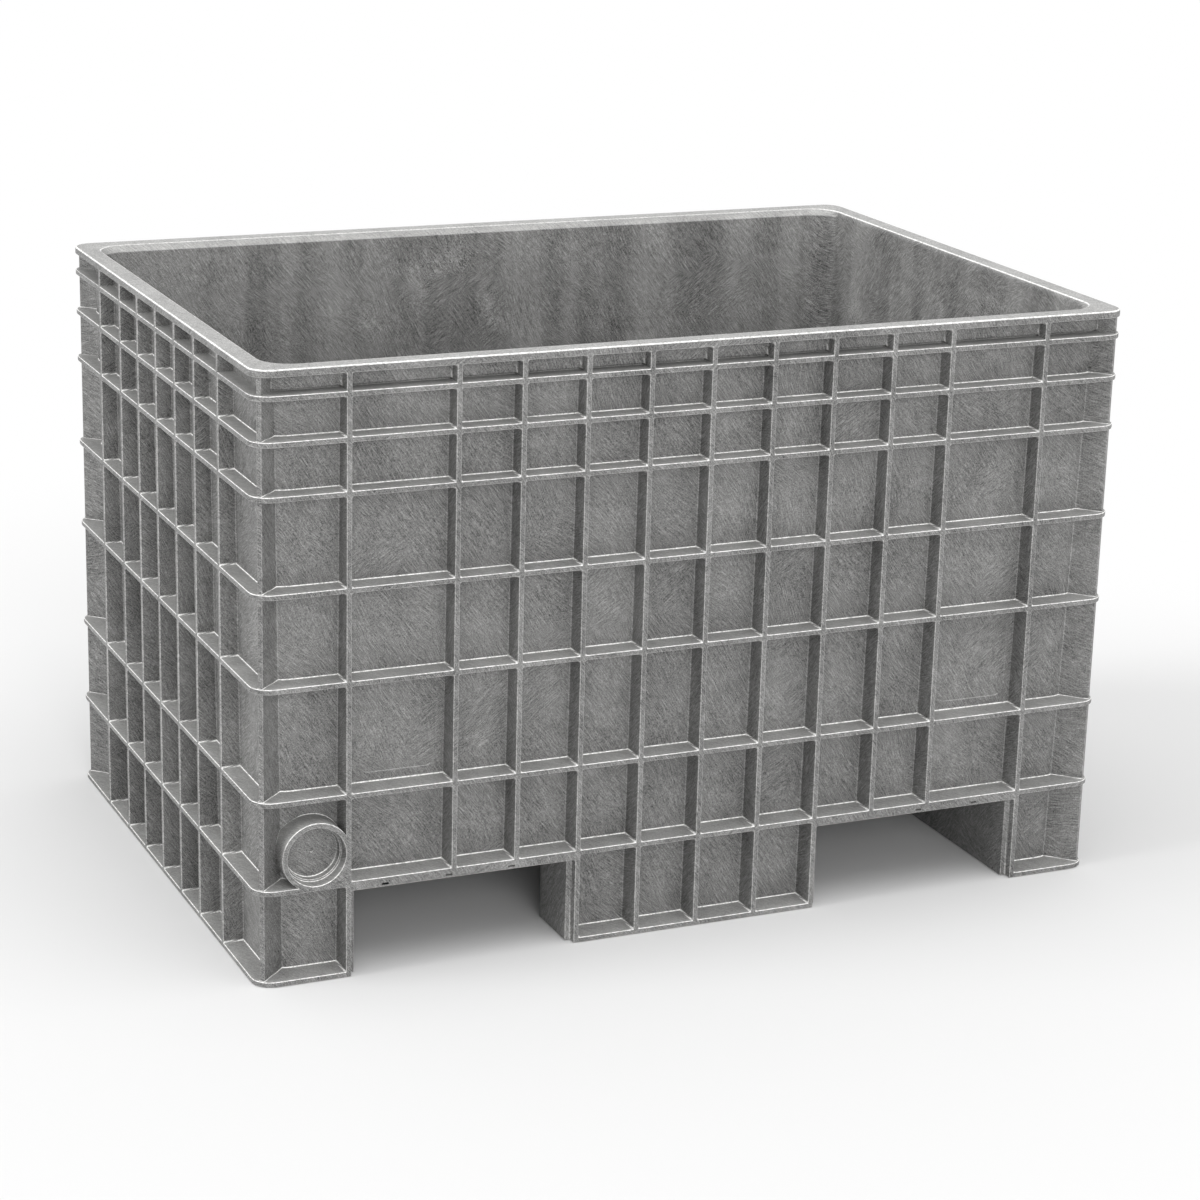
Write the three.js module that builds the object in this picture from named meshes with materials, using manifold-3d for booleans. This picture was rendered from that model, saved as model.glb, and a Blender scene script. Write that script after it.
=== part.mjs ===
// A bulk pallet box: one moulding in structural foam plastic, with fixed ribbed walls and moulded feet.
// Millimetres, Z up. The origin is on the ground under the middle of the box, X runs along the long sides.

import * as THREE from 'three';
import { mergeVertices } from 'three/addons/utils/BufferGeometryUtils.js';
import Module from 'manifold-3d';

// Overall size
const LENGTH = 1200;
const WIDTH = 830;
const HEIGHT = 785;

// Walls: the skin leans inwards going down, so that the outer ribs get deeper towards the feet
const WALL = 8;
const LONG_SKIN_TOP = 25; // depth of the long sides' skin behind the rib edges, at the rim
const LONG_SKIN_FOOT = 38;
const SHORT_SKIN_TOP = 20;
const SHORT_SKIN_FOOT = 28;
const HOOP_CORNER_R = 26;
const SKIN_CORNER_R = 30;
const CAVITY_CORNER_R = 40;
const CORNER_STEPS = 4;

// Ribs
const RIB = 7;
const HOOP_DROPS = [32, 88, 155, 276, 395, 541]; // from the rim down to the top of each hoop
const LIP_TOP = 128; // top of the last hoop, over the fork openings
const NARROW_PITCH = 85;
const LONG_NARROW_RIBS = 4; // narrow bays to each side of the middle rib, long sides
const SHORT_NARROW_RIBS = 2; // and short sides
const LONG_END_BAY = 120; // from the end of the box to the last rib, long sides
const SHORT_END_BAY = 145; // and short sides
const CORNER_RIB_SETBACK = 1.5; // how far the corner ribs stay behind the hoops' round corners

// Rim, and the thick band under it on the long sides
const RIM_HEIGHT = 10;
const RIM_WIDTH = 26;
const RIM_LEDGE = 9;
const BAND_DEPTH = 17; // depth of the band behind the rib edges
const BAND_GAP = 6; // from the first hoop up to the band

// Floor, feet and fork openings
const FLOOR = 8;
const FLOOR_TOP = 136;
const FORK_HEIGHT = 115;
const FOOT_FACE = 12; // the feet's end ribs stand this far in front of the runners' side walls
const FOOT_STEP = 7.5; // and the side walls stand this far out into the fork openings
const MIDDLE_FOOT_DEPTH = 97;
const FOOT_RIBS = 2; // narrow bays of the middle feet to each side of the middle rib

// Blank drain boss in the last bay of one long side
const BOSS_R = 45;
const BOSS_BORE_R = 38;
const BOSS_BORE_DEPTH = 16;
const BOSS_SEAT_R = 35;
const BOSS_SEAT_DEPTH = 26;
const BOSS_SEGMENTS = 28;

const GREY = new THREE.MeshStandardMaterial({ color: 0x7c7c7b, roughness: 0.6, metalness: 0 });

const PAST = 20; // how far a cut runs past the face that it opens

// Places worked out from the sizes above
const halfLength = LENGTH / 2;
const halfWidth = WIDTH / 2;
const floorBottom = FLOOR_TOP - FLOOR;
const hoopTops = [...HOOP_DROPS.map((drop) => HEIGHT - drop), LIP_TOP];
const longEndRib = halfLength - LONG_END_BAY;
const shortEndRib = halfWidth - SHORT_END_BAY;
const middleFootHalf = FOOT_RIBS * NARROW_PITCH + RIB / 2;
const cornerFootInner = longEndRib - RIB / 2;
const footOuter = middleFootHalf + FOOT_STEP; // side walls of the middle feet
const runnerInner = cornerFootInner - FOOT_STEP; // and of the runners under the short sides
const runnerEnd = halfWidth - FOOT_FACE;
const footBack = halfWidth - MIDDLE_FOOT_DEPTH;
const cornerRibReach = LONG_SKIN_FOOT + SHORT_SKIN_FOOT;

const wasm = await Module();
wasm.setup();

// Turns a closed three.js geometry into a solid that can be joined and cut.
function solid(geometry) {
  const bare = geometry.clone();
  bare.deleteAttribute('normal');
  bare.deleteAttribute('uv');
  const merged = mergeVertices(bare, 1e-4);
  return new wasm.Manifold(new wasm.Mesh({
    numProp: 3,
    vertProperties: Float32Array.from(merged.attributes.position.array),
    triVerts: Uint32Array.from(merged.index.array),
  }));
}

// Box between two corners.
function box(x0, x1, y0, y1, z0, z1) {
  const geometry = new THREE.BoxGeometry(x1 - x0, y1 - y0, z1 - z0);
  geometry.translate((x0 + x1) / 2, (y0 + y1) / 2, (z0 + z1) / 2);
  return solid(geometry);
}

// The same box at both ends of an axis, which the box must not cross: 'x' or 'y', or 'xy' for all four corners.
function mirroredBoxes(axes, x0, x1, y0, y1, z0, z1) {
  const boxes = [];
  for (const sx of axes.includes('x') ? [1, -1] : [1]) {
    for (const sy of axes.includes('y') ? [1, -1] : [1]) {
      const [xa, xb] = [sx * x0, sx * x1].sort((a, b) => a - b);
      const [ya, yb] = [sy * y0, sy * y1].sort((a, b) => a - b);
      boxes.push(box(xa, xb, ya, yb, z0, z1));
    }
  }
  return boxes;
}

// Outline of a rectangle with round corners, centred on the box's axis.
function roundedRectangle(length, width, radius) {
  const x = length / 2 - radius;
  const y = width / 2 - radius;
  const outline = new THREE.Shape();
  outline.absarc(x, y, radius, 0, Math.PI / 2);
  outline.absarc(-x, y, radius, Math.PI / 2, Math.PI);
  outline.absarc(-x, -y, radius, Math.PI, 1.5 * Math.PI);
  outline.absarc(x, -y, radius, 1.5 * Math.PI, 2 * Math.PI);
  outline.closePath();
  return outline;
}

// Block with round corners from z0 to z1. insetX and insetY are how far its sides stand in from the
// overall size, each as [at z0, at z1].
function block(radius, z0, z1, insetX, insetY) {
  const outline = roundedRectangle(LENGTH - 2 * insetX[1], WIDTH - 2 * insetY[1], radius);
  const geometry = new THREE.ExtrudeGeometry(outline, {
    depth: z1 - z0,
    bevelEnabled: false,
    curveSegments: CORNER_STEPS,
  });
  const place = geometry.attributes.position;
  for (let i = 0; i < place.count; i += 1) {
    if (place.getZ(i) < (z1 - z0) / 2) {
      place.setX(i, place.getX(i) - Math.sign(place.getX(i)) * (insetX[0] - insetX[1]));
      place.setY(i, place.getY(i) - Math.sign(place.getY(i)) * (insetY[0] - insetY[1]));
    }
  }
  geometry.translate(0, 0, z0);
  return solid(geometry);
}

// Depth of the skin behind the rib edges at height z.
function longSkin(z) {
  return LONG_SKIN_FOOT + (LONG_SKIN_TOP - LONG_SKIN_FOOT) * (z / HEIGHT);
}
function shortSkin(z) {
  return SHORT_SKIN_FOOT + (SHORT_SKIN_TOP - SHORT_SKIN_FOOT) * (z / HEIGHT);
}

// Block that follows the lean of the skin, set in from its outer face by the given amount.
function skinBlock(radius, z0, z1, inset) {
  return block(
    radius,
    z0,
    z1,
    [shortSkin(z0) + inset, shortSkin(z1) + inset],
    [longSkin(z0) + inset, longSkin(z1) + inset],
  );
}

function join(solids) {
  return solids.reduce((sum, next) => sum.add(next));
}

// Rib places along one side: the middle rib, narrow bays to each side of it, then the two end ribs.
function ribPlaces(narrowRibs, endRib) {
  const places = [-endRib, endRib];
  for (let i = -narrowRibs; i <= narrowRibs; i += 1) {
    places.push(i * NARROW_PITCH);
  }
  return places;
}
const longRibs = ribPlaces(LONG_NARROW_RIBS, longEndRib);
const shortRibs = ribPlaces(SHORT_NARROW_RIBS, shortEndRib);

// Skin, hoops, rim and band as filled blocks, which the inside is then cut from
function walls() {
  const full = [0, 0];
  const parts = [skinBlock(SKIN_CORNER_R, 0, HEIGHT - RIM_HEIGHT / 2, 0)];
  for (const top of [RIB, ...hoopTops]) {
    parts.push(block(HOOP_CORNER_R, top - RIB, top, full, full));
  }
  parts.push(block(HOOP_CORNER_R, HEIGHT - RIM_HEIGHT, HEIGHT, full, full));
  const bandInset = shortSkin(HEIGHT);
  parts.push(block(
    SKIN_CORNER_R,
    hoopTops[0] + BAND_GAP,
    HEIGHT - RIM_HEIGHT / 2,
    [bandInset, bandInset],
    [BAND_DEPTH, BAND_DEPTH],
  ));
  return join(parts);
}

// Upright ribs: plates right through the box, two walls at once, and a plate across each corner
function uprightRibs() {
  const top = HEIGHT - RIM_HEIGHT / 2;
  const plates = [];
  for (const x of longRibs) {
    plates.push(box(x - RIB / 2, x + RIB / 2, -halfWidth, halfWidth, 0, top));
  }
  for (const y of shortRibs) {
    plates.push(box(-halfLength, halfLength, y - RIB / 2, y + RIB / 2, 0, top));
  }
  // The hoops' corner arc comes closest to its centre line here, measured from the arc's own centre.
  const arcX = halfLength - HOOP_CORNER_R;
  const arcY = halfWidth - HOOP_CORNER_R;
  const reach = HOOP_CORNER_R - CORNER_RIB_SETBACK;
  for (const sx of [1, -1]) {
    for (const sy of [1, -1]) {
      const plate = new THREE.BoxGeometry(reach + cornerRibReach, RIB, top);
      plate.translate((reach - cornerRibReach) / 2, 0, top / 2);
      plate.rotateZ(Math.atan2(sy, sx));
      plate.translate(sx * arcX, sy * arcY, 0);
      plates.push(solid(plate));
    }
  }
  return join(plates);
}

// Thick lip that closes the last hoop over each fork opening, on both long sides
function lips() {
  return join(mirroredBoxes(
    'xy',
    middleFootHalf,
    cornerFootInner,
    halfWidth - longSkin(FORK_HEIGHT) - WALL,
    halfWidth,
    FORK_HEIGHT,
    LIP_TOP,
  ));
}

// Blank drain boss, which runs into the ribs beside and below it
function drainBoss() {
  const centreX = -cornerFootInner - BOSS_R;
  const centreZ = LIP_TOP - RIB + BOSS_R;
  const back = halfWidth - longSkin(centreZ) - WALL / 2;
  const cylinder = (radius, near, far) => {
    const geometry = new THREE.CylinderGeometry(radius, radius, far - near, BOSS_SEGMENTS);
    geometry.translate(centreX, -(near + far) / 2, centreZ);
    return solid(geometry);
  };
  const filled = box(centreX, -longEndRib, -halfWidth, -back, LIP_TOP - RIB, centreZ);
  return {
    body: cylinder(BOSS_R, back, halfWidth).add(filled),
    bore: cylinder(BOSS_BORE_R, halfWidth - BOSS_BORE_DEPTH, halfWidth + PAST)
      .add(cylinder(BOSS_SEAT_R, halfWidth - BOSS_SEAT_DEPTH, halfWidth)),
  };
}

// Inside of the box, with the ledge that widens its mouth
function cavity() {
  const ledge = HEIGHT - RIM_LEDGE;
  const inside = skinBlock(CAVITY_CORNER_R, FLOOR_TOP, HEIGHT, WALL);
  const mouth = block(
    CAVITY_CORNER_R,
    ledge,
    HEIGHT,
    [shortSkin(ledge) + WALL, RIM_WIDTH],
    [longSkin(ledge) + WALL, RIM_WIDTH],
  );
  return inside.add(mouth);
}

// Underside: ribs below the floor, the runners' side walls, and the cross walls of the middle feet
function underside() {
  const plates = [];
  for (const x of longRibs.filter((place) => Math.abs(place) < longEndRib)) {
    plates.push(box(x - RIB / 2, x + RIB / 2, -halfWidth, halfWidth, 0, floorBottom));
  }
  for (const y of shortRibs) {
    plates.push(box(-halfLength, halfLength, y - RIB / 2, y + RIB / 2, 0, floorBottom));
  }
  const inSkin = join(plates).intersect(skinBlock(SKIN_CORNER_R, 0, floorBottom, WALL / 2));
  return join([
    inSkin,
    ...mirroredBoxes('x', runnerInner, longEndRib, -runnerEnd, runnerEnd, 0, floorBottom),
    ...mirroredBoxes('xy', middleFootHalf - RIB, footOuter, footBack, runnerEnd, 0, floorBottom),
    ...mirroredBoxes('y', -footOuter, footOuter, footBack, footBack + RIB, 0, floorBottom),
  ]);
}

// Fork openings under both long sides, and the space between the two middle feet
function forkSpace() {
  const out = halfWidth + PAST;
  return join([
    ...mirroredBoxes('x', footOuter, runnerInner, -out, out, -PAST, FORK_HEIGHT),
    ...mirroredBoxes('xy', middleFootHalf, cornerFootInner, runnerEnd, out, -PAST, FORK_HEIGHT),
    box(-footOuter - PAST, footOuter + PAST, -footBack, footBack, -PAST, FORK_HEIGHT),
  ]);
}

function palletBox() {
  const boss = drainBoss();
  const hollowBelow = skinBlock(SKIN_CORNER_R - WALL, -PAST, floorBottom, WALL);
  const moulding = walls()
    .add(uprightRibs())
    .add(lips())
    .add(boss.body)
    .subtract(boss.bore)
    .subtract(cavity())
    .subtract(hollowBelow)
    .add(underside())
    .subtract(forkSpace());
  const { vertProperties, triVerts } = moulding.getMesh();
  const geometry = new THREE.BufferGeometry();
  geometry.setAttribute('position', new THREE.BufferAttribute(Float32Array.from(vertProperties), 3));
  geometry.setIndex(new THREE.BufferAttribute(Uint32Array.from(triVerts), 1));
  geometry.computeVertexNormals();
  const mesh = new THREE.Mesh(geometry, GREY);
  mesh.name = 'box_moulding';
  return mesh;
}

const part = new THREE.Group();
part.add(palletBox());

export default part;
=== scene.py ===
import math
import bmesh
import bpy
from mathutils import Euler, Matrix, Vector
from mathutils.geometry import intersect_point_line


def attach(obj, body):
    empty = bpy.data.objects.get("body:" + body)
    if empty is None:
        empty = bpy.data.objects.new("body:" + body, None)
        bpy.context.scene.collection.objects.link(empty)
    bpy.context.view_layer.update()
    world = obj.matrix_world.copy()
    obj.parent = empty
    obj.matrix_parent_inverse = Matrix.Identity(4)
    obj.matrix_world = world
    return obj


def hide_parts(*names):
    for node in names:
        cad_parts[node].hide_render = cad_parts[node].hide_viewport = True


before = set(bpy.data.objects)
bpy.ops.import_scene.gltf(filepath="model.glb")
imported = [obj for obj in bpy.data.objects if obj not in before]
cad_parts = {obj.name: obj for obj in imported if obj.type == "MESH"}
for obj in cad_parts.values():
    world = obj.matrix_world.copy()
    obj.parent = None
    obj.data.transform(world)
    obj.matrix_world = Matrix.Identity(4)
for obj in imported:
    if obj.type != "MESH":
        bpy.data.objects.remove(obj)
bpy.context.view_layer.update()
scene = bpy.context.scene

# Camera
# The box is seen from a little above the rim, with one long side and one short side in view and
# the camera leaning slightly to one side.

camera_place = (-1.6957, -3.8747, 1.6205)
looks_down, looks_right, leans = 17.01, 24.09, 1.507  # degrees

camera_data = bpy.data.cameras.new("camera")
camera_data.sensor_width = 36.0
camera_data.lens = 94.99
camera_data.clip_end = 60.0
camera = bpy.data.objects.new("camera", camera_data)
scene.collection.objects.link(camera)
camera.matrix_world = (
    Matrix.Translation(camera_place)
    @ Euler((math.radians(90 - looks_down), 0, math.radians(-looks_right))).to_matrix().to_4x4()
    @ Matrix.Rotation(math.radians(leans), 4, "Z")
)
scene.camera = camera

# Tub
# The whole box is one moulding in structural foam plastic, and the tub is its inner part: thin
# walls, smooth inside, that lean in towards the foot. Everything else is moulded on to it.


class Link:
    """A socket that can be used in sums: an expression on it adds the Math nodes for it."""

    def __init__(self, tree, socket):
        self.tree = tree
        self.socket = socket

    def node(self, kind, settings=None, **values):
        """Adds a node: its settings first, then its sockets, by name or as _0, _1 by place."""
        node = self.tree.nodes.new(kind)
        for name, value in (settings or {}).items():
            setattr(node, name, value)
        for name, value in values.items():
            socket = node.inputs[int(name[1:]) if name[0] == "_" else name.replace("_", " ")]
            for item in value if isinstance(value, list) else [value]:
                if isinstance(item, Link):
                    self.tree.links.new(item.socket, socket)
                else:
                    socket.default_value = item
        return Link(self.tree, next(output for output in node.outputs if output.enabled))

    def named(self, name):
        """Another output of the same node."""
        return Link(self.tree, self.socket.node.outputs[name])

    def maths(self, operation, *values):
        places = {f"_{place}": value for place, value in enumerate(values)}
        return self.node("ShaderNodeMath", {"operation": operation}, **places)

    def __add__(self, other):
        return self.maths("ADD", self, other)

    __radd__ = __add__

    def __mul__(self, other):
        return self.maths("MULTIPLY", self, other)

    __rmul__ = __mul__

    def __sub__(self, other):
        return self.maths("SUBTRACT", self, other)

    def __rsub__(self, other):
        return self.maths("SUBTRACT", other, self)

    def __truediv__(self, other):
        return self.maths("DIVIDE", self, other)

    def __rtruediv__(self, other):
        return self.maths("DIVIDE", other, self)

    def __neg__(self):
        return self.maths("MULTIPLY", self, -1.0)

    def clip(self, low, high):
        """0 below low, 1 above high, and a smooth step between."""
        settings = {"interpolation_type": "SMOOTHSTEP"}
        return self.node("ShaderNodeMapRange", settings, _0=self, _1=low, _2=high, _3=0.0, _4=1.0)


moulding_sizes = {
    "Length": 1.200,
    "Width": 0.830,
    "Height": 0.785,
    "Wall": 0.008,
    "Rib": 0.007,
    "Rib pitch": 0.085,
    "Long end bay": 0.120,
    "Short end bay": 0.145,
    "Long skin at rim": 0.025,
    "Long skin at foot": 0.038,
    "Short skin at rim": 0.020,
    "Short skin at foot": 0.028,
    "Rim width": 0.026,
    "Rim height": 0.010,
    "Lip height": 0.128,
    "Fork height": 0.115,
    "Foot step": 0.0075,
    "Foot face": 0.012,
    "Slot bottom": 0.1178,
    "Slot top": 0.1203,
}
skin_round = 0.030
inside_round = 0.040
under_round = 0.022  # corners of the hollow under the floor
corner_steps = 6
past = 0.02  # how far a cut runs past the face that it opens

tree = bpy.data.node_groups.new("ribbed_box", "GeometryNodeTree")
tree.interface.new_socket("Hoop heights", in_out="INPUT", socket_type="NodeSocketGeometry")
for name in moulding_sizes:
    tree.interface.new_socket(name, in_out="INPUT", socket_type="NodeSocketFloat")
tree.interface.new_socket("Plastic", in_out="INPUT", socket_type="NodeSocketMaterial")
tree.interface.new_socket("Box", in_out="OUTPUT", socket_type="NodeSocketGeometry")
entry = Link(tree, tree.nodes.new("NodeGroupInput").outputs["Hoop heights"])
(length, width, height, wall, rib, pitch, long_bay, short_bay, long_rim, long_foot, short_rim,
 short_foot, rim_width, rim_height, lip_top, fork_top, foot_step, foot_face, slot_bottom,
 slot_top) = (
    entry.named(name) for name in moulding_sizes
)
half_length, half_width = length * 0.5, width * 0.5
under_rim = height - rim_height * 0.5


def point(x, y, z):
    return entry.node("ShaderNodeCombineXYZ", X=x, Y=y, Z=z)


def prism(long, wide, corner, bottom, top, lean_x=0.0, lean_y=0.0):
    """Block with round corners; its foot stands further in than its top by the two leans."""
    outline = entry.node("GeometryNodeCurvePrimitiveQuadrilateral", Width=long, Height=wide)
    outline = entry.node(
        "GeometryNodeFilletCurve", {"mode": "POLY"}, Curve=outline, Count=corner_steps, Radius=corner
    )
    path = entry.node(
        "GeometryNodeCurvePrimitiveLine", Start=point(0.0, 0.0, bottom), End=point(0.0, 0.0, top)
    )
    block = entry.node("GeometryNodeCurveToMesh", Curve=path, Profile_Curve=outline, Fill_Caps=True)
    x = entry.node("ShaderNodeSeparateXYZ", Vector=entry.node("GeometryNodeInputPosition"))
    y, z = x.named("Y"), x.named("Z")
    share = (top - z) / (top - bottom)
    lean = point(
        x.maths("SIGN", x) * share * lean_x * -1.0, y.maths("SIGN", y) * share * lean_y * -1.0, 0.0
    )
    return entry.node("GeometryNodeSetPosition", Geometry=block, Offset=lean)


def long_skin(z):
    """Depth of the long sides' skin behind the rib edges."""
    return long_foot + (long_rim - long_foot) * (z / height)


def short_skin(z):
    return short_foot + (short_rim - short_foot) * (z / height)


def skin_block(corner, bottom, top, inset):
    """Block that follows the lean of the skin."""
    return prism(
        length - (short_skin(top) + inset) * 2, width - (long_skin(top) + inset) * 2,
        corner, bottom, top,
        short_skin(bottom) - short_skin(top), long_skin(bottom) - long_skin(top),
    )


tub = skin_block(skin_round, 0.0, under_rim, 0.0)
inside = skin_block(inside_round, lip_top + wall, height, wall)
hollow_below = skin_block(under_round, -past, lip_top, wall)

# Hoops and rim
# Eight flat hoops run round the tub, moulded on, with the lowest at the foot. The rim on top is a
# thicker flange, and on the long sides a band stands proud of the skin under it.

hoop_tops = (0.007, 0.128, 0.244, 0.390, 0.509, 0.630, 0.697, 0.753)
corner_round = 0.026  # hoops and rim, at the box's four corners
band_drop = 0.0285  # from the rim's top down to the band's underside
band_back = 0.017  # how far the band lies behind the rib edges
mouth_depth = 0.009  # how far down the rim's opening narrows to the inside of the walls


def copies(form, points, **turns):
    placed = entry.node("GeometryNodeInstanceOnPoints", Points=points, Instance=form, **turns)
    return entry.node("GeometryNodeRealizeInstances", Geometry=placed)


hoops = copies(prism(length, width, corner_round, 0.0, rib), entry)
rim = prism(length, width, corner_round, height - rim_height, height)
band = prism(
    length - short_rim * 2, width - band_back * 2, skin_round, height - band_drop, under_rim
)
ledge = height - mouth_depth
mouth = prism(
    length - rim_width * 2, width - rim_width * 2, inside_round, ledge, height,
    short_skin(ledge) + wall - rim_width, long_skin(ledge) + wall - rim_width,
)

# Upright ribs
# Flat ribs stand on the skin all round, moulded on: evenly spaced in the middle of each side, with
# wider bays towards its ends. One more runs out at each corner of the box.

ribs_on_long, ribs_on_short = 9, 5  # the evenly spaced ones
corner_setback = 0.0030  # from a corner rib's edge to the hoops' round edge


def bar(x0, x1, y0, y1, z0, z1):
    """Block between two corners."""
    cube = entry.node("GeometryNodeMeshCube", Size=point(x1 - x0, y1 - y0, z1 - z0))
    middle = point((x0 + x1) * 0.5, (y0 + y1) * 0.5, (z0 + z1) * 0.5)
    return entry.node("GeometryNodeTransform", Geometry=cube, Translation=middle)


def row(form, count, first, step):
    """The same form repeated in a straight line."""
    points = entry.node(
        "GeometryNodeMeshLine", {"mode": "OFFSET"}, Count=count, Start_Location=first, Offset=step
    )
    return copies(form, points)


def ribs_along(count, first, step, top):
    """Ribs as wide as the box, repeated along its length."""
    blade = bar(-rib * 0.5, rib * 0.5, -half_width, half_width, 0.0, top)
    return row(blade, count, point(first, 0.0, 0.0), point(step, 0.0, 0.0))


def ribs_across(count, first, step, top):
    """Ribs as long as the box, repeated across its width."""
    blade = bar(-half_length, half_length, -rib * 0.5, rib * 0.5, 0.0, top)
    return row(blade, count, point(0.0, first, 0.0), point(0.0, step, 0.0))


long_end_rib, short_end_rib = half_length - long_bay, half_width - short_bay
first_along, first_across = pitch * ((1 - ribs_on_long) / 2), pitch * ((1 - ribs_on_short) / 2)
narrow_long = ribs_along(ribs_on_long, first_along, pitch, under_rim)
end_long = ribs_along(2, -long_end_rib, long_end_rib * 2, under_rim)
narrow_short = ribs_across(ribs_on_short, first_across, pitch, under_rim)
end_short = ribs_across(2, -short_end_rib, short_end_rib * 2, under_rim)

# A corner rib starts inside the skin and runs out at half a right angle.
centres = entry.node(
    "GeometryNodeCurvePrimitiveQuadrilateral",
    Width=length - corner_round * 2, Height=width - corner_round * 2,
)
across = entry.node("ShaderNodeSeparateXYZ", Vector=entry.node("GeometryNodeInputPosition"))
outward = across.maths(
    "ARCTAN2", across.maths("SIGN", across.named("Y")), across.maths("SIGN", across)
)
corner_blade = bar(
    -long_foot - short_foot, corner_round - corner_setback, -rib * 0.5, rib * 0.5, 0.0, under_rim
)
corner_ribs = copies(corner_blade, centres, Rotation=point(0.0, 0.0, outward))

# Fork lips and drain boss
# A thick lip, moulded on, spans each fork opening. The blank drain boss is a short round tube with
# a closed end, moulded into the last bay of one long side.

boss_round, bore_round, seat_round, dimple_round = 0.045, 0.038, 0.035, 0.0032
bore_depth, seat_depth, dimple_depth = 0.016, 0.026, 0.029
dimple_sides = 12
fill_rise = 0.020  # how far the filling between boss and rib goes above the boss's axis


def mirrored(form, x=True, y=True):
    """The form, and its twins across the middle of the box."""
    twins = []
    for side_x in (1, -1) if x else (1,):
        for side_y in (1, -1) if y else (1,):
            if side_x == side_y:
                half_turn = (0, 0, math.pi if side_x < 0 else 0)
                twins.append(entry.node("GeometryNodeTransform", Geometry=form, Rotation=half_turn))
            else:
                twin = entry.node("GeometryNodeTransform", Geometry=form, Scale=(side_x, side_y, 1))
                twins.append(entry.node("GeometryNodeFlipFaces", Mesh=twin))
    return twins


def joined(*solids):
    settings = {"operation": "UNION", "solver": "MANIFOLD"}
    return entry.node("GeometryNodeMeshBoolean", settings, Mesh_2=list(solids))


def cut(body, *tools):
    settings = {"operation": "DIFFERENCE", "solver": "MANIFOLD"}
    return entry.node("GeometryNodeMeshBoolean", settings, Mesh_1=body, Mesh_2=list(tools))


foot_half = pitch * 2 + rib * 0.5
foot_inner = long_end_rib - rib * 0.5
lip = bar(
    pitch * 2, long_end_rib, half_width - long_skin(fork_top) - wall, half_width,
    fork_top - past, lip_top,
)
lips = mirrored(lip)
boss_x = -foot_inner - boss_round
boss_z = lip_top - rib + boss_round
boss_back = half_width - long_skin(boss_z) - wall * 0.5


def drum(radius, near, far, sides=40):
    """Short cylinder on the boss's axis, between two distances from the middle of the box."""
    turned = entry.node("GeometryNodeMeshCylinder", Vertices=sides, Radius=radius, Depth=far - near)
    return entry.node(
        "GeometryNodeTransform", Geometry=turned,
        Rotation=(math.pi / 2, 0, 0), Translation=point(boss_x, (near + far) * -0.5, boss_z),
    )


boss = drum(boss_round, boss_back, half_width)
boss_fill = bar(
    boss_x, -long_end_rib, -half_width, -boss_back, lip_top - rib, boss_z + fill_rise
)
bore = drum(bore_round, half_width - bore_depth, half_width + past)
seat = drum(seat_round, half_width - seat_depth, half_width)
dimple = drum(dimple_round, half_width - dimple_depth, half_width, dimple_sides)

outer = joined(
    tub, hoops, rim, band, narrow_long, end_long, narrow_short, end_short, corner_ribs, *lips,
    boss, boss_fill,
)
opened = cut(outer, bore, seat, dimple, inside, mouth, hollow_below)

# Underside
# Ribs both ways stiffen the floor from below. The box stands on a hollow runner under each short
# side and on a middle foot under each long side, all moulded on, with fork openings between them.

foot_depth = 0.097  # how far a middle foot reaches in from the rib edges

foot_outer = foot_half + foot_step
runner_inner = foot_inner - foot_step
runner_end = half_width - foot_face
foot_back = half_width - foot_depth
fork_end = half_width + past


def shared(*solids):
    settings = {"operation": "INTERSECT", "solver": "MANIFOLD"}
    return entry.node("GeometryNodeMeshBoolean", settings, Mesh_2=list(solids))


under_grid = joined(
    ribs_along(ribs_on_long, first_along, pitch, lip_top),
    ribs_across(ribs_on_short, first_across, pitch, lip_top),
    ribs_across(2, -short_end_rib, short_end_rib * 2, lip_top),
)
under_ribs = shared(under_grid, skin_block(skin_round, 0.0, lip_top, wall * 0.5))
runner_wall = bar(runner_inner, long_end_rib, -runner_end, runner_end, 0.0, lip_top)
foot_side = bar(foot_half - rib, foot_outer, foot_back, runner_end, 0.0, lip_top)
foot_end = bar(-foot_outer, foot_outer, foot_back, foot_back + rib, 0.0, lip_top)
footed = joined(
    opened, under_ribs,
    *mirrored(runner_wall, y=False), *mirrored(foot_side), *mirrored(foot_end, x=False),
)
forks = (
    *mirrored(bar(foot_outer, runner_inner, -fork_end, fork_end, -past, fork_top), y=False),
    *mirrored(bar(foot_half, foot_inner, runner_end, fork_end, -past, fork_top)),
    bar(-foot_outer - past, foot_outer + past, -foot_back, foot_back, -past, fork_top),
)

# Slots and panels
# The mould leaves small slots in the lips and, in one wide bay towards each end of the long sides,
# a shallow sunken panel with sloping edges.

slot_half, slot_depth = 0.0045, 0.006
slot_rows = ((3, -0.432), (2, 0.327))  # how many in a row, and where the first one is
panel_bottom, panel_top = 0.256, 0.368
panel_long, panel_round, panel_trim = 0.102, 0.014, 0.002
panel_depth, panel_over, panel_slope = 0.0006, 0.0022, 0.0045
panel_places = (-0.4055, 0.4155)

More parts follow.
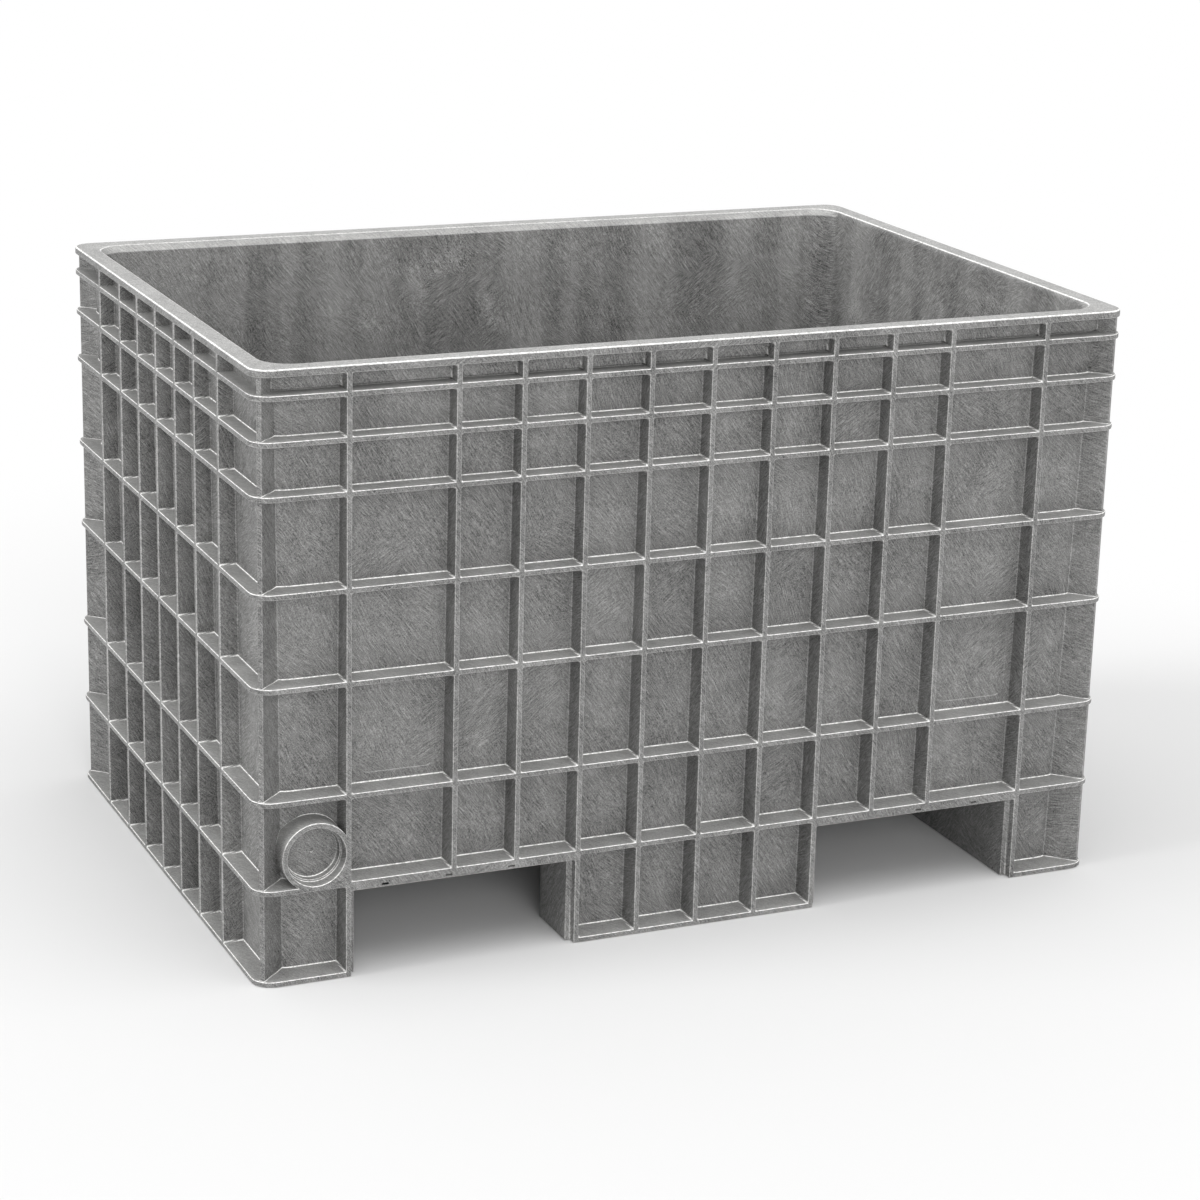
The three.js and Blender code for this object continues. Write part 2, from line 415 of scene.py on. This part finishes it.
slot = bar(
    -slot_half, slot_half, -half_width - past, -half_width + slot_depth, slot_bottom, slot_top
)
near_slots = [
    row(slot, count, point(first, 0.0, 0.0), point(pitch, 0.0, 0.0)) for count, first in slot_rows
]
far_slots = [
    entry.node("GeometryNodeTransform", Geometry=slots, Rotation=(0, 0, math.pi))
    for slots in near_slots
]
panel_middle = (panel_bottom + panel_top) / 2
panel_face = half_width - long_skin(panel_middle)
skin_lean = math.atan2(
    moulding_sizes["Long skin at foot"] - moulding_sizes["Long skin at rim"],
    moulding_sizes["Height"],
)
panel = prism(
    panel_long, panel_top - panel_bottom - panel_trim, panel_round, -panel_over, panel_depth,
    -panel_slope, -panel_slope,
)
panels = [
    entry.node(
        "GeometryNodeTransform", Geometry=panel,
        Rotation=(skin_lean - math.pi / 2, 0, 0 if side < 0 else math.pi),
        Translation=point(panel_x, panel_face * side, panel_middle),
    )
    for side in (-1.0, 1.0)
    for panel_x in panel_places
]

# Finished moulding
# Tub, hoops, rim, ribs, lips, boss and feet come out of the mould as one solid with one skin. The
# tree above is run once and leaves that solid as a plain mesh.

plastic = bpy.data.materials.new("grey_foam_plastic")
whole = cut(footed, *forks, *near_slots, *far_slots, *panels)
solid = entry.node("GeometryNodeRealizeInstances", Geometry=whole)
solid = entry.node("GeometryNodeSetMaterial", Geometry=solid, Material=entry.named("Plastic"))
tree.links.new(solid.socket, tree.nodes.new("NodeGroupOutput").inputs["Box"])

heights = bpy.data.meshes.new("hoop_heights")
heights.from_pydata([(0, 0, top - moulding_sizes["Rib"]) for top in hoop_tops], [], [])
maker = bpy.data.objects.new("hoop_heights", heights)
scene.collection.objects.link(maker)
build = maker.modifiers.new("build", "NODES")
build.node_group = tree
for item in tree.interface.items_tree:
    if item.in_out == "INPUT" and item.name in moulding_sizes:
        build[item.identifier] = moulding_sizes[item.name]
    elif item.name == "Plastic":
        build[item.identifier] = plastic
depsgraph = bpy.context.evaluated_depsgraph_get()
raw = bpy.data.meshes.new_from_object(maker.evaluated_get(depsgraph))
bpy.data.objects.remove(maker)

# Rounded edges
# Every edge comes out of the mould rounded: free edges a little, the rim and the roots of the ribs
# more. A rounding is never wider than the small faces beside it have room for.

edge_round = 0.0013
rim_round = 0.0026
root_round = 0.0018
crossing_round = 0.0032  # where two ribs cross
narrow_round = 0.0005  # on folds well past a right angle
slanting_root, slanting_nick = 0.0014, 0.0003  # long and short roots that run slantwise on the level
room = 0.36  # the share of a face beside it that a rounding may take
least_fold, steep_fold = 25, 105  # degrees
square_on = 0.99998  # a face whose normal has a larger part than this lies square to the box
least_slant = 0.35  # a neighbour more in line than this leaves the width free
rim_level = 0.784
slantwise, nick_length = 0.6, 0.009
slot_low, slot_high = 0.1175, 0.1206  # the edges of the slots lie between these, and stay sharp
same_point, short_edge, flat = 0.00002, 0.0005, math.radians(0.5)
hole_sides = 8

shell = bmesh.new()
shell.from_mesh(raw)
bmesh.ops.remove_doubles(shell, verts=shell.verts, dist=same_point)
gaps = [edge for edge in shell.edges if edge.is_boundary]
bmesh.ops.holes_fill(shell, edges=gaps, sides=hole_sides)
bmesh.ops.dissolve_limit(shell, angle_limit=flat, verts=shell.verts, edges=shell.edges)
bmesh.ops.dissolve_degenerate(shell, dist=short_edge, edges=shell.edges)
loose = [edge for edge in shell.edges if not edge.link_faces]
bmesh.ops.delete(shell, geom=loose, context="EDGES")
gaps = [edge for edge in shell.edges if edge.is_boundary]
bmesh.ops.holes_fill(shell, edges=gaps, sides=hole_sides)


def room_beside(edge, run):
    """The widest rounding that the faces on both sides of an edge leave room for."""
    widest = crossing_round
    for face in edge.link_faces:
        for corner in edge.verts:
            for beside in corner.link_edges:
                if beside is edge or face not in beside.link_faces:
                    continue
                way = beside.other_vert(corner).co - corner.co
                slant = way.cross(run).length
                if slant > least_slant * way.length:
                    widest = min(widest, room * slant)
    return widest


weight = shell.edges.layers.float.new("bevel_weight_edge")
for edge in shell.edges:
    if not edge.is_manifold:
        continue
    fold = math.degrees(edge.calc_face_angle_signed(0.0))
    if abs(fold) < least_fold:
        continue
    run = (edge.verts[1].co - edge.verts[0].co).normalized()
    between_ribs = all(max(map(abs, face.normal)) > square_on for face in edge.link_faces)
    wish = edge_round if fold > 0 else crossing_round if between_ribs else root_round
    wish = min(wish, room_beside(edge, run))
    if fold > 0 and all(corner.co.z > rim_level for corner in edge.verts):
        wish = rim_round
    if abs(fold) > steep_fold:
        wish = min(wish, narrow_round)
    if fold < 0 and min(abs(run.x), abs(run.y)) > slantwise:
        wish = min(wish, slanting_root if edge.calc_length() > nick_length else slanting_nick)
    if all(slot_low < corner.co.z < slot_high for corner in edge.verts):
        wish = 0.0
    edge[weight] = wish / crossing_round
blank = bpy.data.meshes.new("box_walls")
shell.to_mesh(blank)
shell.free()

walls = bpy.data.objects.new("box_walls", blank)
scene.collection.objects.link(walls)
rounding = walls.modifiers.new("rounding", "BEVEL")
rounding.width = crossing_round
rounding.segments = 2
rounding.limit_method = "WEIGHT"
rounding.use_clamp_overlap = False

# Where a rounding would run over itself, the edges around that spot get a smaller one.
most_attempts = 6
clear = 0.004  # how near an edge has to be to such a spot
smaller = 0.6
least_area, folded_over = 1e-8, 0.3


def crossed_spots(mesh):
    """Where the triangles of a face point another way than the face itself."""
    mesh.calc_loop_triangles()
    crossed = set()
    for piece in mesh.loop_triangles:
        face_normal = mesh.polygons[piece.polygon_index].normal
        if piece.area > least_area and piece.normal.dot(face_normal) < folded_over:
            crossed.update(piece.vertices)
    return [mesh.vertices[index].co for index in crossed]


def close_to(edge, spots):
    start, end = (blank.vertices[index].co for index in edge.vertices)
    for spot in spots:
        along = intersect_point_line(spot, start, end)[1]
        if (spot - start.lerp(end, min(max(along, 0.0), 1.0))).length < clear:
            return True
    return False


for attempt in range(most_attempts):
    depsgraph = bpy.context.evaluated_depsgraph_get()
    rounded = bpy.data.meshes.new_from_object(walls.evaluated_get(depsgraph))
    spots = crossed_spots(rounded)
    if not spots:
        break
    widths = blank.attributes["bevel_weight_edge"].data
    for edge in blank.edges:
        if widths[edge.index].value != 0.0 and close_to(edge, spots):
            widths[edge.index].value *= smaller
    blank.update()
walls.modifiers.remove(rounding)
walls.data = rounded

# Two attributes for the finish: how sharply the rounding at a point folds, out or in, which places
# the painted highlights, and whether the point is on the inside of the tub, where wear and painted
# light go.
strip_width = 0.0025  # only faces narrower than this belong to a rounding
gap_low, gap_high = 0.752, 0.758  # the gap between the top hoop and the band, where roots stay dark
long_middle, short_middle = 0.373, 0.568  # the middle of the walls, at the foot
long_lean, short_lean = 0.0166, 0.0102  # how far it leans out for each metre of height
floor_level = 0.13
sharp_fold = 0.95  # radians

finish = bmesh.new()
finish.from_mesh(rounded)
proud = finish.verts.layers.float.new("proud")
indoors = finish.verts.layers.float.new("indoors")
for vert in finish.verts:
    out_x, out_y, up = map(abs, vert.co)
    if all(2 * face.calc_area() < strip_width * face.calc_perimeter() for face in vert.link_faces):
        vert[proud] = max((edge.calc_face_angle_signed(0.0) for edge in vert.link_edges), key=abs)
    # Roots in the gap under the band get no painted highlight.
    if gap_low < up < gap_high:
        vert[proud] = max(vert[proud], 0.0)
    in_long = out_y < long_middle + long_lean * up
    in_short = out_x < short_middle + short_lean * up
    vert[indoors] = float(in_long and in_short and up > floor_level)
for face in finish.faces:
    face.smooth = True
for edge in finish.edges:
    edge.smooth = abs(edge.calc_face_angle_signed(0.0)) < sharp_fold
finish.to_mesh(rounded)
finish.free()
even = walls.modifiers.new("even", "WEIGHTED_NORMAL")
even.keep_sharp = True

# Grey foam plastic
# Gas in the foam marks the skin with fine lighter streaks as the mould fills, and goods scuff the
# inside. Painted highlights lie on the edges and rib roots, and painted light on upward faces, the
# rim's top and the whole inside.

plastic.use_nodes = True
tree = plastic.node_tree
tree.nodes.clear()
place = Link(tree, tree.nodes.new("ShaderNodeTexCoord").outputs["Object"])


def noise(scale, detail, roughness=0.5, vector=place):
    return place.node(
        "ShaderNodeTexNoise", {}, Vector=vector, Scale=scale, Detail=detail, Roughness=roughness
    )


def attribute(name):
    return place.node("ShaderNodeAttribute", {"attribute_name": name}).named("Fac")


# Most streaks fall to the right. They bend slowly, and their direction changes from patch to patch.
streak_long, streak_thin, bend = 0.015, 0.0011, 0.022
sideways = 0.6  # how much the short sides count in the direction along the walls

bent = place.node(
    "ShaderNodeVectorMath", {"operation": "MULTIPLY_ADD"},
    _0=noise(6.0, 1.0).named("Color"), _1=(bend, bend, bend), _2=place,
)
bent_x = place.node("ShaderNodeSeparateXYZ", Vector=bent)
bent_y, bent_z = bent_x.named("Y"), bent_x.named("Z")
on_wall = place.node(
    "ShaderNodeCombineXYZ", X=bent_x + bent_y * sideways, Y=bent_z, Z=bent_x * sideways - bent_y
)
flow = None
for angle, seed in ((-54, 0.0), (-40, 3.7), (-68, 7.9), (35, 12.3)):
    turned = place.node(
        "ShaderNodeMapping", {"vector_type": "TEXTURE"}, Vector=on_wall,
        Rotation=(0, 0, math.radians(angle)), Scale=(streak_long, streak_thin, streak_long),
    )
    streak = noise(1.0, 4.0, 0.7, turned)
    streak = streak.clip(0.36, 0.56) * 0.45 + streak.clip(0.54, 0.66) * 0.55 - 0.4
    if flow is None:
        flow = streak
        continue
    patch = place.node(
        "ShaderNodeTexNoise", {"noise_dimensions": "4D"}, Vector=place, W=seed, Scale=9.0, Detail=1.0
    )
    patch = patch.clip(0.50 + seed * 0.006, 0.56 + seed * 0.006)
    flow = flow + (streak - flow) * patch

cloud_place = place.node("ShaderNodeMapping", {}, Vector=bent, Scale=(13.0, 13.0, 6.0))
mottle = noise(26.0, 5.0, 0.65) - 0.5
cloud = noise(1.0, 2.0, vector=cloud_place).clip(0.3, 0.75) - 0.5
grain = noise(620.0, 3.0, 0.7) - 0.5
# Noise that breaks up the painted highlights.
highlight_breakup = noise(260.0, 3.0, 0.7)

# Painted highlights: rounded edges and rib roots are painted lighter, most where they face up.
fold = attribute("proud")
facing = place.node("ShaderNodeSeparateXYZ", Vector=place.node("ShaderNodeTexCoord").named("Normal"))
# How far a face turns up: it weights the painted highlights and sets the painted top light.
upward = facing.named("Z").clip(0.10, 0.60)
edge_highlight = fold.clip(0.15, 0.50) * (0.28 + upward * 0.50)
root_highlight = (-fold).clip(0.15, 0.50) * (0.10 + upward * 0.90)
painted_highlights = (edge_highlight + root_highlight) * (0.40 + highlight_breakup.clip(0.36, 0.58) * 0.75)

# Inside, sliding goods have left upright bands and scuffed patches, and the whole inside is painted
# lighter as painted light. The rim's top gets a painted highlight, broken up by grain.
inside_face = attribute("indoors")
band_place = place.node("ShaderNodeMapping", {}, Vector=place, Scale=(19.0, 19.0, 1.6))
bands = noise(1.0, 2.0, 0.4, band_place).clip(0.35, 0.65) - 0.5
scuffs = noise(8.0, 3.0).clip(0.54, 0.68) * (mottle * 2.0 + grain * 4.0 + 0.35)
# Bands, scuffs and streaks are wear; the constant 0.034 is painted light that lifts the whole
# inside.
inside_wear_and_light = inside_face * (bands * 0.075 + scuffs * 0.14 + flow * 0.05 + 0.034)
level = place.node("ShaderNodeSeparateXYZ", Vector=place).named("Z")
# Painted highlight on the rim's top face, broken up by the grain.
rim_top_highlight = level.clip(0.7835, 0.7845) * (0.015 + grain * 0.5)

base_grey = 0.186
skin = base_grey + mottle * 0.13 + cloud * 0.055 + flow * 0.19 + grain * 0.55
# upward * 0.17 is painted light: faces turned up are painted lighter, as if lit from above.
shade = skin + inside_wear_and_light + rim_top_highlight + upward * 0.17 + painted_highlights * 0.74
tint = place.node("ShaderNodeCombineColor", Red=shade, Green=shade * 0.995, Blue=shade * 0.975)
gloss = 0.50 - flow * 0.12 + mottle * 0.2
relief = flow * (0.25 + inside_face * 0.5) + mottle * 0.5 + grain * 0.5
bump = place.node("ShaderNodeBump", Strength=0.30, Distance=0.0006, Height=relief)
surface = place.node("ShaderNodeBsdfPrincipled", Base_Color=tint, Roughness=gloss, Normal=bump)
tree.links.new(surface.socket, tree.nodes.new("ShaderNodeOutputMaterial").inputs["Surface"])
walls.data.materials.clear()
walls.data.materials.append(plastic)

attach(walls, "root")
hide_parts("box_moulding")

# Studio
# A pale floor under the box keeps its shadow and fades to white away from it. The surround is white
# for the camera, and large soft lamps stand in front, to the left and above.

floor_reach, floor_height = 12, -0.0005
fade_start, fade_end = 1.1, 2.2
pale, white = (0.8, 0.8, 0.8, 1), (1, 1, 1, 1)
around = 0.6  # how much light the surround gives

floor_mesh = bpy.data.meshes.new("studio_floor")
floor_corners = [
    (floor_reach * side_x, floor_reach * side_y, floor_height)
    for side_x, side_y in ((-1, -1), (1, -1), (1, 1), (-1, 1))
]
floor_mesh.from_pydata(floor_corners, [], [(0, 1, 2, 3)])
floor = bpy.data.objects.new("studio_floor", floor_mesh)
scene.collection.objects.link(floor)
floor_paint = bpy.data.materials.new("studio_floor")
floor_paint.use_nodes = True
tree = floor_paint.node_tree
tree.nodes.clear()
spot = Link(tree, tree.nodes.new("ShaderNodeTexCoord").outputs["Object"])
away = spot.node("ShaderNodeVectorMath", {"operation": "LENGTH"}, _0=spot).clip(fade_start, fade_end)
card = spot.node("ShaderNodeBsdfDiffuse", Color=pale)
glow = spot.node("ShaderNodeEmission", Color=white, Strength=1.0)
seen_directly = Link(tree, tree.nodes.new("ShaderNodeLightPath").outputs["Is Camera Ray"])
blend = spot.node("ShaderNodeMixShader", _0=away * seen_directly, _1=card, _2=glow)
tree.links.new(blend.socket, tree.nodes.new("ShaderNodeOutputMaterial").inputs["Surface"])
floor_mesh.materials.append(floor_paint)

for name, direction, spread, power in (
    ("front_lamp", (-0.12, -1.0, 0.25), 36, 1.40),
    ("left_lamp", (-1.0, 0.10, 0.42), 32, 1.55),
    ("top_lamp", (0.05, -0.25, 1.0), 55, 1.20),
):
    lamp_data = bpy.data.lights.new(name, "SUN")
    lamp_data.energy = power
    lamp_data.angle = math.radians(spread)
    lamp = bpy.data.objects.new(name, lamp_data)
    lamp.rotation_euler = Vector(direction).to_track_quat("Z", "Y").to_euler()
    scene.collection.objects.link(lamp)

world = bpy.data.worlds.new("studio")
world.use_nodes = True
scene.world = world
tree = world.node_tree
tree.nodes.clear()
camera_ray = Link(tree, tree.nodes.new("ShaderNodeLightPath").outputs["Is Camera Ray"])
rays = camera_ray + camera_ray.named("Is Glossy Ray") + camera_ray.named("Is Transmission Ray")
strength = around + rays.maths("MINIMUM", rays, 1.0) * (1 - around)
background = rays.node("ShaderNodeBackground", {}, Color=white, Strength=strength)
tree.links.new(background.socket, tree.nodes.new("ShaderNodeOutputWorld").inputs["Surface"])

scene.view_settings.view_transform = "Standard"
